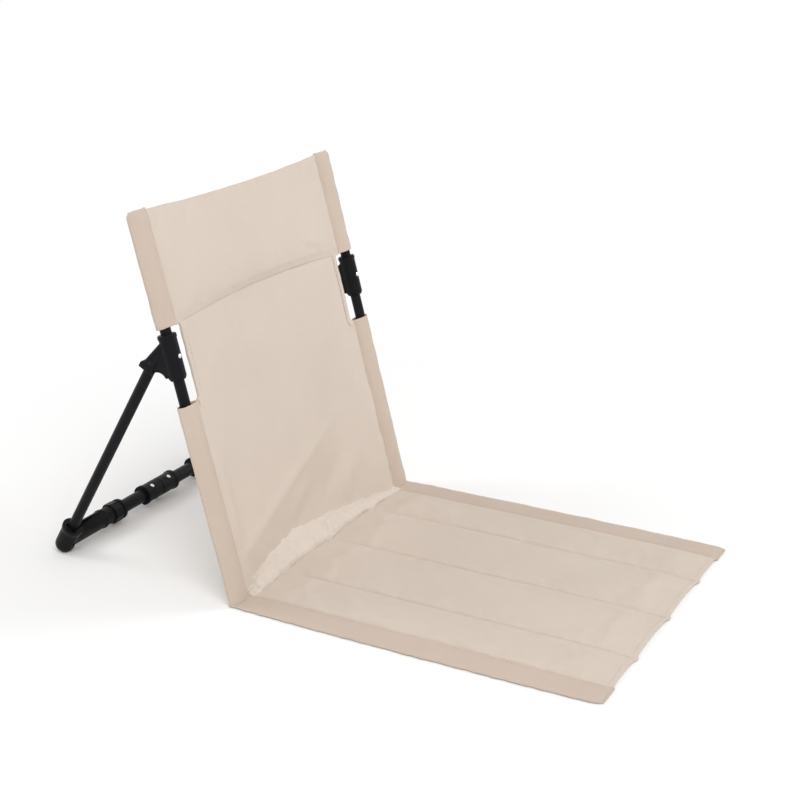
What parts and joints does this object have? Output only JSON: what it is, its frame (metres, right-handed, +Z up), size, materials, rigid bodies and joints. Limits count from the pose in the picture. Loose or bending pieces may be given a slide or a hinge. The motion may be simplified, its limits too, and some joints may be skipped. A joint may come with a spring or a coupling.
{
  "type": "folding beach chair",
  "caption": "Legless folding chair with a quilted seat that lies on the ground and a sling back on tubes, held up by a folding stand behind.",
  "frame": {"origin": "middle of the footprint, on the ground", "axes": "+X to the sitter's left, -Y to the front of the chair, +Z up"},
  "size_m": [0.4, 0.6729, 0.4155],
  "materials": {
    "panel_cloth": "matt weave",
    "edge_cloth": "matt weave",
    "foam": "open foam",
    "tube_paint": "satin black paint",
    "moulding": "fine moulded texture",
    "rivet_metal": "bright",
    "pin_steel": "blackened"
  },
  "bodies": {
    "seat": {"seat_base": "panel_cloth", "seat_pad_1": "foam", "seat_pad_2": "foam", "seat_pad_3": "foam", "seat_pad_4": "foam", "seat_cover": "panel_cloth", "right_seat_band": "edge_cloth", "left_seat_band": "edge_cloth", "crease_welt": "panel_cloth"},
    "right_frame": {"right_back_tube": "tube_paint", "right_tube_top_cap": "moulding", "right_tube_bottom_cap": "moulding", "right_hub": "moulding", "right_hub_rivet": "rivet_metal", "right_hub_pin": "pin_steel", "right_upper_sleeve": "edge_cloth", "right_lower_sleeve": "edge_cloth", "back_panel": "panel_cloth", "headrest_cover": "panel_cloth", "headrest_pad": "foam"},
    "right_leg": {"right_leg_head": "moulding", "right_leg_tube": "tube_paint", "right_leg_eye": "moulding"},
    "right_bar": {"right_foot_elbow": "moulding", "right_foot_pin": "pin_steel", "right_bar_tube": "tube_paint", "right_bar_knuckle": "moulding", "right_bar_rivet": "rivet_metal", "centre_pin": "pin_steel"},
    "left_bar": {"left_foot_elbow": "moulding", "left_foot_pin": "pin_steel", "left_bar_tube": "tube_paint", "left_bar_knuckle": "moulding", "left_bar_rivet": "rivet_metal"},
    "left_leg": {"left_leg_head": "moulding", "left_leg_tube": "tube_paint", "left_leg_eye": "moulding"},
    "left_frame": {"left_back_tube": "tube_paint", "left_tube_top_cap": "moulding", "left_tube_bottom_cap": "moulding", "left_hub": "moulding", "left_hub_rivet": "rivet_metal", "left_hub_pin": "pin_steel", "left_upper_sleeve": "edge_cloth", "left_lower_sleeve": "edge_cloth"}
  },
  "joints": [
    {"name": "back_fold", "type": "hinge", "parent": "seat", "child": "right_frame", "pos_m": [0, 0.07718, 0.014], "axis": [1, 0, 0], "range_deg": [0, 100]},
    {"name": "stand_fold", "type": "hinge", "parent": "right_frame", "child": "right_leg", "pos_m": [-0.187, 0.17851, 0.25591], "axis": [-1, 0, 0], "range_deg": [0, 46.4]},
    {"name": "crossbar_fold", "type": "hinge", "parent": "right_leg", "child": "right_bar", "pos_m": [-0.172, 0.3218, 0.0165], "axis": [0, -0.8581, -0.5135], "range_deg": [0, 78], "deforming": ["back_panel", "headrest_cover", "headrest_pad", "seat_base", "seat_cover", "seat_pad_1", "seat_pad_2", "seat_pad_3", "seat_pad_4", "crease_welt", "left_seat_band"]},
    {"name": "centre_fold", "type": "hinge", "parent": "right_bar", "child": "left_bar", "pos_m": [0, 0.32683, 0.00809], "axis": [0, 0.8581, 0.5135], "range_deg": [0, 156]},
    {"name": "left_foot_fold", "type": "hinge", "parent": "left_bar", "child": "left_leg", "pos_m": [0.172, 0.3218, 0.0165], "axis": [0, -0.8581, -0.5135], "range_deg": [0, 78]},
    {"name": "left_stand_fold", "type": "hinge", "parent": "left_leg", "child": "left_frame", "pos_m": [0.187, 0.17851, 0.25591], "axis": [1, 0, 0], "range_deg": [0, 46.4]}
  ],
  "couplings": [
    {"joint": "centre_fold", "follows": "crossbar_fold", "ratio": 2},
    {"joint": "left_foot_fold", "follows": "crossbar_fold", "ratio": 1},
    {"joint": "left_stand_fold", "follows": "stand_fold", "ratio": 1}
  ]
}
